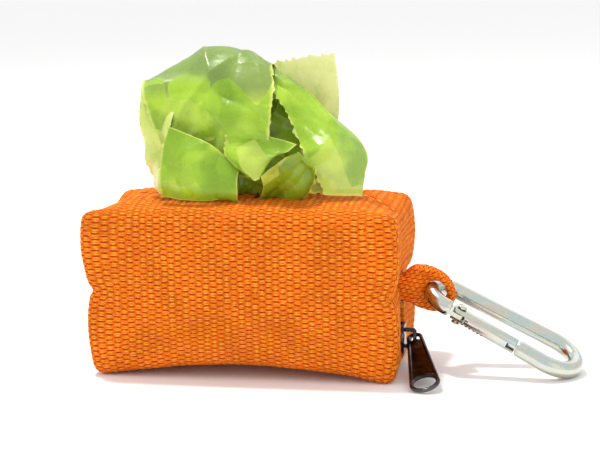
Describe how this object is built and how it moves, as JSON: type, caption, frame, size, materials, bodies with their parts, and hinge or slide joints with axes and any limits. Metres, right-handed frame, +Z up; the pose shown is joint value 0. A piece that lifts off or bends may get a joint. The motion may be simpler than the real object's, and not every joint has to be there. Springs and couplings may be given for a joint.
{
  "type": "waste bag dispenser pouch",
  "caption": "Small zipped cloth pouch that feeds waste bags through a slot in its top, with a strap loop and a steel snap hook.",
  "frame": {"origin": "under the middle of the whole object's box, on the surface that it stands on", "axes": "+X along the pouch to the snap hook, +Y to the back panel, +Z up"},
  "size_m": [0.1388, 0.0504, 0.0923],
  "materials": {
    "orange_cloth": "coarse woven orange cloth, matt",
    "black_tape": "black woven tape",
    "black_nylon": "black nylon coil",
    "gunmetal": "polished dark plating",
    "zinc_steel": "bright zinc plating",
    "spring_steel": "bare spring wire",
    "cardboard": "plain card tube",
    "lime_film": "thin translucent lime film",
    "orange_thread": "sewing thread",
    "black_thread": "sewing thread"
  },
  "bodies": {
    "pouch": {"front_panel": "orange_cloth", "back_panel": "orange_cloth", "zip_tape_front": "black_tape", "zip_tape_back": "black_tape", "zip_coil_front": "black_nylon", "zip_coil_back": "black_nylon", "zip_top_stop_front": "gunmetal", "zip_top_stop_back": "gunmetal", "zip_bottom_stop": "gunmetal", "strap_loop": "orange_cloth", "slot_tack_left": "orange_thread", "slot_tack_right": "orange_thread", "thread_tail": "black_thread"},
    "slider": {"zip_slider": "gunmetal"},
    "pull": {"zip_pull": "gunmetal"},
    "hook": {"hook_body": "zinc_steel", "gate_rivet": "zinc_steel"},
    "gate": {"hook_gate": "zinc_steel", "gate_spring": "spring_steel", "gate_plunger": "zinc_steel"},
    "roll": {"bag_roll": "lime_film", "roll_core": "cardboard"},
    "bag": {"bag_film": "lime_film", "bag_neck": "lime_film"}
  },
  "joints": [
    {"name": "zip_slide", "type": "slide", "parent": "pouch", "child": "slider", "axis": [0, 0, 1], "range_m": [0, 0.005]},
    {"name": "pull_swing", "type": "hinge", "parent": "slider", "child": "pull", "pos_m": [0.02125, 0.00305, 0.0085], "axis": [0, 0, 1], "range_deg": [0, 150]},
    {"name": "hook_swing", "type": "hinge", "parent": "pouch", "child": "hook", "pos_m": [0.02677, 0.00305, 0.02317], "axis": [-0.1643, -0.9742, -0.1547], "range_deg": [-45, 120]},
    {"name": "gate_open", "type": "hinge", "parent": "hook", "child": "gate", "pos_m": [0.0347, -0.00401, 0.01757], "axis": [0.4301, -0.2119, 0.8776], "range_deg": [0, 26], "stiffness_Nm_per_rad": 0.02, "springref_deg": -20.05},
    {"name": "bag_feed", "type": "slide", "parent": "pouch", "child": "bag", "axis": [0, 0, 1], "range_m": [0, 0.035], "deforming": ["bag_neck"]},
    {"name": "roll_spin", "type": "hinge", "parent": "pouch", "child": "roll", "pos_m": [-0.0259, 0.00305, 0.0226], "axis": [1, 0, 0], "range_deg": [0, 135]}
  ],
  "couplings": [
    {"joint": "roll_spin", "follows": "bag_feed", "rad_per_m": 64.5}
  ]
}
